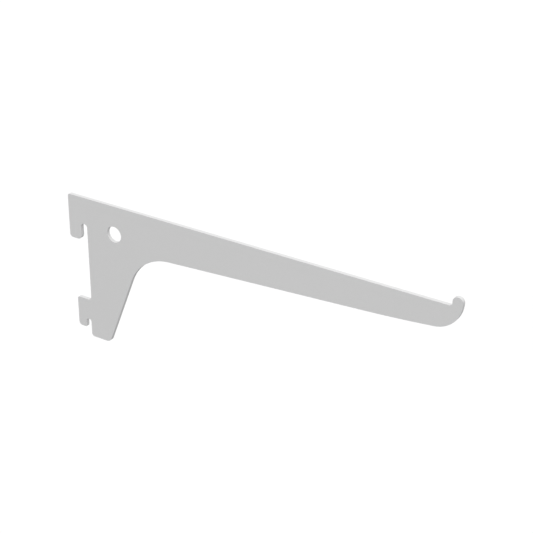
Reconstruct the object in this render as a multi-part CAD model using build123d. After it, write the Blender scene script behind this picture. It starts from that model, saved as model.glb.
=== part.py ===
from build123d import *

import math
import os

# Slotted shelf bracket, blanked from one steel sheet and powder coated.
# +X runs out along the arm, +Y through the sheet and +Z up. The origin is where the
# shelf edge meets the line of the back edge, halfway through the sheet. Millimetres.

# Coated sheet
plate_thickness = 1.8
edge_round = 0.1

# Arm: lengths from the back edge, depths from the shelf edge down to the underside
arm_length = 191.4
elbow_reach = 30.65
elbow_depth = 20.8
taper_length = 28.5
taper_depth = 13.15
taper_blend = 15.3
tip_depth = 10.2
elbow_round = 24.4

# Upturned lip at the end of the arm
lip_height = 4.45
lip_thickness = 4.75
lip_flat = 0.1
lip_root_round = 1.3

# Leg that runs down the upright below the arm
leg_length = 72.2
foot_reach = 10.3
leg_step = 0.75
foot_back_round = 1.5
foot_front_round = 3.3

# Hooks: both slots are cut to the pitch of the holes in the upright
hook_pitch = 50.0
slot_crown_depth = 13.45
upper_slot_width = 3.45
upper_hook_width = 7.0
upper_hook_drop = 8.5
upper_hook_top_round = 1.2
upper_hook_back_round = 1.75
upper_hook_front_round = 2.65
lower_slot_width = 2.8
lower_hook_width = 4.7
lower_hook_drop = 4.7
lower_hook_rise = 10.6
lower_hook_top_round = 1.15
lower_hook_back_round = 1.65
lower_hook_front_round = 0.8
ledge_round = 1.95

# Hole through the root of the arm
hole_radius = 3.95
hole_reach = 15.8
hole_depth = 14.2

# Radius of a full round as a share of its width, a little under the half of a true half circle
full_round = 0.48


def hook_outline():
    """Corners of both hooks and their slots, from the shelf edge down to the leg."""
    upper_back = -upper_slot_width - upper_hook_width
    upper_foot = -slot_crown_depth - upper_hook_drop
    lower_crown = -slot_crown_depth - hook_pitch
    lower_front = -leg_step - lower_slot_width
    lower_back = lower_front - lower_hook_width
    lower_foot = lower_crown - lower_hook_drop
    ledge = lower_crown + lower_hook_rise
    upper_crown_round = full_round * upper_slot_width
    lower_crown_round = full_round * lower_slot_width
    return [
        (upper_back, 0, upper_hook_top_round),
        (upper_back, upper_foot, upper_hook_back_round),
        (-upper_slot_width, upper_foot, upper_hook_front_round),
        (-upper_slot_width, -slot_crown_depth, upper_crown_round),
        (0, -slot_crown_depth, upper_crown_round),
        (0, ledge, ledge_round),
        (lower_back, ledge, lower_hook_top_round),
        (lower_back, lower_foot, lower_hook_back_round),
        (lower_front, lower_foot, lower_hook_front_round),
        (lower_front, lower_crown, lower_crown_round),
        (-leg_step, lower_crown, lower_crown_round),
    ]


def arm_outline():
    """Corners of the leg, the tapering underside of the arm and the lip at its end."""
    taper_reach = arm_length - taper_length
    first_slope = math.atan2(elbow_depth - taper_depth, taper_reach - elbow_reach)
    last_slope = math.atan2(taper_depth - tip_depth, taper_length)
    taper_round = taper_blend / math.tan((last_slope - first_slope) / 2)
    nose_round = full_round * lip_thickness
    end_rise = tip_depth + lip_height - nose_round - lip_flat
    end_round = end_rise / math.tan((math.pi / 2 - last_slope) / 2)
    lip_face = arm_length - lip_thickness
    return [
        (-leg_step, -leg_length, foot_back_round),
        (foot_reach, -leg_length, foot_front_round),
        (elbow_reach, -elbow_depth, elbow_round),
        (taper_reach, -taper_depth, taper_round),
        (arm_length, -tip_depth, end_round),
        (arm_length, lip_height, nose_round),
        (lip_face, lip_height, nose_round),
        (lip_face, 0, lip_root_round),
    ]


def bracket_plate():
    """The blank with its hole, its cut edges softened by the coating."""
    outline = hook_outline() + arm_outline()
    corners = [(reach, height) for reach, height, radius in outline]
    rounds = [radius for reach, height, radius in outline]
    with BuildPart() as plate:
        with BuildSketch(Plane.XZ):
            with BuildLine():
                FilletPolyline(*corners, radius=rounds, close=True)
            make_face()
            with Locations((hole_reach, -hole_depth)):
                Circle(hole_radius, mode=Mode.SUBTRACT)
        extrude(amount=plate_thickness / 2, both=True)
        fillet(plate.faces().filter_by(Axis.Y).edges(), edge_round)
    return plate.part


os.makedirs("parts", exist_ok=True)
export_step(bracket_plate(), "parts/bracket_plate.step")
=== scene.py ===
import math

import bmesh
import bpy
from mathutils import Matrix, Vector


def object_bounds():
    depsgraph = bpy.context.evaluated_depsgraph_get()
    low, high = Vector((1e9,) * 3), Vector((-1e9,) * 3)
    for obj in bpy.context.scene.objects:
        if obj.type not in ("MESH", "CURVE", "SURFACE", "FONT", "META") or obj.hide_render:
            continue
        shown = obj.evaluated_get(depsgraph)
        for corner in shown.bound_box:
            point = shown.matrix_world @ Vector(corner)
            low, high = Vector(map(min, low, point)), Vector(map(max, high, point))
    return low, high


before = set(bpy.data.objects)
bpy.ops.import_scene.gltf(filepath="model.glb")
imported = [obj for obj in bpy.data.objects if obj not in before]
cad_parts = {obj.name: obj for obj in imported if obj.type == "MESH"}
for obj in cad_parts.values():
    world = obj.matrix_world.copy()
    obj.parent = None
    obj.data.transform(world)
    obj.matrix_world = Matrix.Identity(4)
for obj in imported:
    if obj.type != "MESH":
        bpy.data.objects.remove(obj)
cad_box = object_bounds()

# All lengths are in metres, in the frame of the plate: +X along the arm, +Z up.

# Camera of the photograph
view_azimuth = math.radians(33.2)
view_elevation = math.radians(27.2)
view_distance = 0.6495
view_focal_mm = 102.86
film_width_mm = 36.0
view_height = -0.0071
view_reach = 0.09875
nearest_seen = 0.1  # share of the view distance
farthest_seen = 4  # in radii of the floor

# Powder coat: greys, roughness and blends as shares, bumps by their spacing, depth and fineness
coat_dark = 0.74
coat_pale = 0.82
grain_share = 0.8
# Grey of the rounded rims: painted shade, a dark line drawn along the edges of the plate
painted_rim_shade = 0.6
rim_gain = 4.0  # brings the middle of a rounded rim up to a full share
coat_roughness_low = 0.36
coat_roughness_high = 0.46
mottle_size = 0.018
mottle_detail = 3
peel_size = 0.0016
peel_detail = 1
peel_depth = 0.00003
grain_size = 0.00025
grain_detail = 2
grain_depth = 0.000006
shear_size = 0.0003
shear_detail = 2
shear_depth = 0.000008
shear_stretch = 0.06

# Studio: the directions of the lamps are in degrees
sky_light = 0.88
ground_light = 0.25
horizon_blend = 0.12
backdrop_light = 1.02
lamp_softness = math.radians(50.0)
lamps = {
    "right_lamp": {"light": 0.53, "azimuth": 55.0, "elevation": 30.0},
    "left_lamp": {"light": 0.345, "azimuth": -28.0, "elevation": 32.0},
    "back_lamp": {"light": 0.29, "azimuth": 180.0, "elevation": 20.0},
}
floor_drop = 0.6
floor_radius = 8.0
floor_sides = 64
floor_grey = 0.98


def add_node(tree, kind, **settings):
    """A shader node of this kind, with its settings made."""
    node = tree.nodes.new(kind)
    for name, value in settings.items():
        setattr(node, name, value)
    return node


def feed(tree, socket, value):
    """Gives a socket a fixed number or another node's result."""
    if isinstance(value, bpy.types.NodeSocket):
        tree.links.new(value, socket)
    else:
        socket.default_value = value


def blend(tree, share, first, second):
    """The first value where the share is 0, the second where it is 1."""
    mix = add_node(tree, "ShaderNodeMix")
    feed(tree, mix.inputs["Factor"], share)
    feed(tree, mix.inputs["A"], first)
    feed(tree, mix.inputs["B"], second)
    return mix.outputs["Result"]


def calculate(tree, operation, *values):
    """Result of one step of arithmetic."""
    step = add_node(tree, "ShaderNodeMath", operation=operation)
    for socket, value in zip(step.inputs, values):
        feed(tree, socket, value)
    return step.outputs["Value"]


def fine_noise(tree, place, size, detail):
    """Height of a random relief whose bumps are about this size across."""
    noise = add_node(tree, "ShaderNodeTexNoise")
    noise.inputs["Scale"].default_value = 1 / size
    noise.inputs["Detail"].default_value = detail
    tree.links.new(place, noise.inputs["Vector"])
    return noise.outputs["Fac"]


def relief(tree, height, depth, under=None):
    """Surface normal of a relief of this depth, laid over another one."""
    bump = add_node(tree, "ShaderNodeBump")
    bump.inputs["Distance"].default_value = depth
    tree.links.new(height, bump.inputs["Height"])
    if under:
        tree.links.new(under, bump.inputs["Normal"])
    return bump.outputs["Normal"]


def blanked_wall(tree, normal):
    """Shares of the cut wall and of its rounded rims: both are 0 on the flat of the sheet."""
    parts = add_node(tree, "ShaderNodeSeparateXYZ")
    tree.links.new(normal, parts.inputs["Vector"])
    face = calculate(tree, "ABSOLUTE", parts.outputs["Y"])
    wall = calculate(tree, "SUBTRACT", 1.0, face)
    rim = calculate(tree, "MULTIPLY", face, calculate(tree, "MULTIPLY", wall, rim_gain))
    return wall, rim


def shear_marks(tree, place, wall):
    """Height of the scratches that the punch leaves through the thickness of the cut wall."""
    stretched = add_node(tree, "ShaderNodeMapping")
    stretched.inputs["Scale"].default_value = (1.0, shear_stretch, 1.0)
    tree.links.new(place, stretched.inputs["Vector"])
    scratches = fine_noise(tree, stretched.outputs["Vector"], shear_size, shear_detail)
    return calculate(tree, "MULTIPLY", scratches, wall)


def powder_coat():
    """Satin powder coat: orange peel and fine grain, with painted shade on the rims (a dark line along
    the rounded edges), over a blanked wall.
    """
    coat = bpy.data.materials.new("powder_coat_satin")
    coat.use_nodes = True
    tree = coat.node_tree
    shader = tree.nodes["Principled BSDF"]
    place = add_node(tree, "ShaderNodeTexCoord")
    wall, rim = blanked_wall(tree, place.outputs["Normal"])
    mottle = fine_noise(tree, place.outputs["Object"], mottle_size, mottle_detail)
    peel = fine_noise(tree, place.outputs["Object"], peel_size, peel_detail)
    grain = fine_noise(tree, place.outputs["Object"], grain_size, grain_detail)
    tone = blend(tree, grain_share, mottle, grain)
    full_coat = blend(tree, tone, coat_dark, coat_pale)
    # Painted shade: the rounded rims are blended towards a dark grey, which draws a dark line along
    # the edges
    tree.links.new(blend(tree, rim, full_coat, painted_rim_shade), shader.inputs["Base Color"])
    roughness = blend(tree, grain, coat_roughness_low, coat_roughness_high)
    tree.links.new(roughness, shader.inputs["Roughness"])
    cut = relief(tree, shear_marks(tree, place.outputs["Object"], wall), shear_depth)
    coarse = relief(tree, peel, peel_depth, cut)
    fine = relief(tree, grain, grain_depth, coarse)
    tree.links.new(fine, shader.inputs["Normal"])
    return coat


def coat_bracket():
    """Gives the blanked plate its powder coat."""
    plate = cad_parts["bracket_plate"]
    plate.material_slots[0].material = powder_coat()


def studio_dome():
    """Soft light all round, bright from above and dim from below, before a plain white backdrop."""
    world = bpy.data.worlds.new("studio_dome")
    world.use_nodes = True
    bpy.context.scene.world = world
    tree = world.node_tree
    direction = add_node(tree, "ShaderNodeTexCoord").outputs["Generated"]
    parts = add_node(tree, "ShaderNodeSeparateXYZ")
    tree.links.new(direction, parts.inputs["Vector"])
    rise = add_node(tree, "ShaderNodeMapRange", interpolation_type="SMOOTHSTEP")
    rise.inputs["From Min"].default_value = -horizon_blend
    rise.inputs["From Max"].default_value = horizon_blend
    rise.inputs["To Min"].default_value = ground_light
    rise.inputs["To Max"].default_value = sky_light
    tree.links.new(parts.outputs["Z"], rise.inputs["Value"])
    seen = add_node(tree, "ShaderNodeLightPath").outputs["Is Camera Ray"]
    background = tree.nodes["Background"]
    background.inputs["Color"].default_value = (1, 1, 1, 1)
    light = blend(tree, seen, rise.outputs["Result"], backdrop_light)
    tree.links.new(light, background.inputs["Strength"])


def studio_floor():
    """Plain pale floor, well below the plate, which hangs as it does from its upright."""
    mesh = bmesh.new()
    bmesh.ops.create_circle(mesh, cap_ends=True, segments=floor_sides, radius=floor_radius)
    bmesh.ops.translate(mesh, verts=mesh.verts, vec=(0, 0, cad_box[0].z - floor_drop))
    data = bpy.data.meshes.new("studio_floor")
    mesh.to_mesh(data)
    mesh.free()
    floor = bpy.data.objects.new("studio_floor", data)
    bpy.context.scene.collection.objects.link(floor)
    paint = bpy.data.materials.new("floor_paint")
    paint.use_nodes = True
    shader = paint.node_tree.nodes["Principled BSDF"]
    shader.inputs["Base Color"].default_value = (floor_grey, floor_grey, floor_grey, 1)
    shader.inputs["Roughness"].default_value = 1
    shader.inputs["Specular IOR Level"].default_value = 0
    data.materials.append(paint)
    # The floor throws no light up at the plate: the dome's lower half stands for it
    floor.visible_diffuse = False
    floor.visible_glossy = False


def away(azimuth, elevation):
    """Direction out from the plate: azimuth 0 is square to its front, a quarter turn along the arm."""
    level = math.cos(elevation)
    return Vector((math.sin(azimuth) * level, -math.cos(azimuth) * level, math.sin(elevation)))


def broad_lamp(name, light, azimuth, elevation):
    """Weak, very soft light from this side, above the plate."""
    data = bpy.data.lights.new(name, "SUN")
    data.energy = light
    data.angle = lamp_softness
    lamp = bpy.data.objects.new(name, data)
    lamp.rotation_mode = "QUATERNION"
    back = away(math.radians(azimuth), math.radians(elevation))
    lamp.rotation_quaternion = back.to_track_quat("Z", "Y")
    bpy.context.scene.collection.objects.link(lamp)


def photo_camera():
    """Camera at the photograph's place, looking at the middle of the arm."""
    target = Vector((view_reach, cad_box[0].y, view_height))
    back = away(view_azimuth, view_elevation)
    data = bpy.data.cameras.new("photo_camera")
    data.sensor_width = film_width_mm
    data.lens = view_focal_mm
    data.clip_start = nearest_seen * view_distance
    data.clip_end = farthest_seen * floor_radius
    camera = bpy.data.objects.new("photo_camera", data)
    camera.location = target + view_distance * back
    camera.rotation_mode = "QUATERNION"
    camera.rotation_quaternion = back.to_track_quat("Z", "Y")
    bpy.context.scene.collection.objects.link(camera)
    bpy.context.scene.camera = camera


def plain_colours():
    """Shows greys as they are lit, with no film look."""
    view = bpy.context.scene.view_settings
    view.view_transform = "Standard"
    view.look = "None"


coat_bracket()
studio_dome()
studio_floor()
for lamp_name, lamp_values in lamps.items():
    broad_lamp(lamp_name, **lamp_values)
photo_camera()
plain_colours()
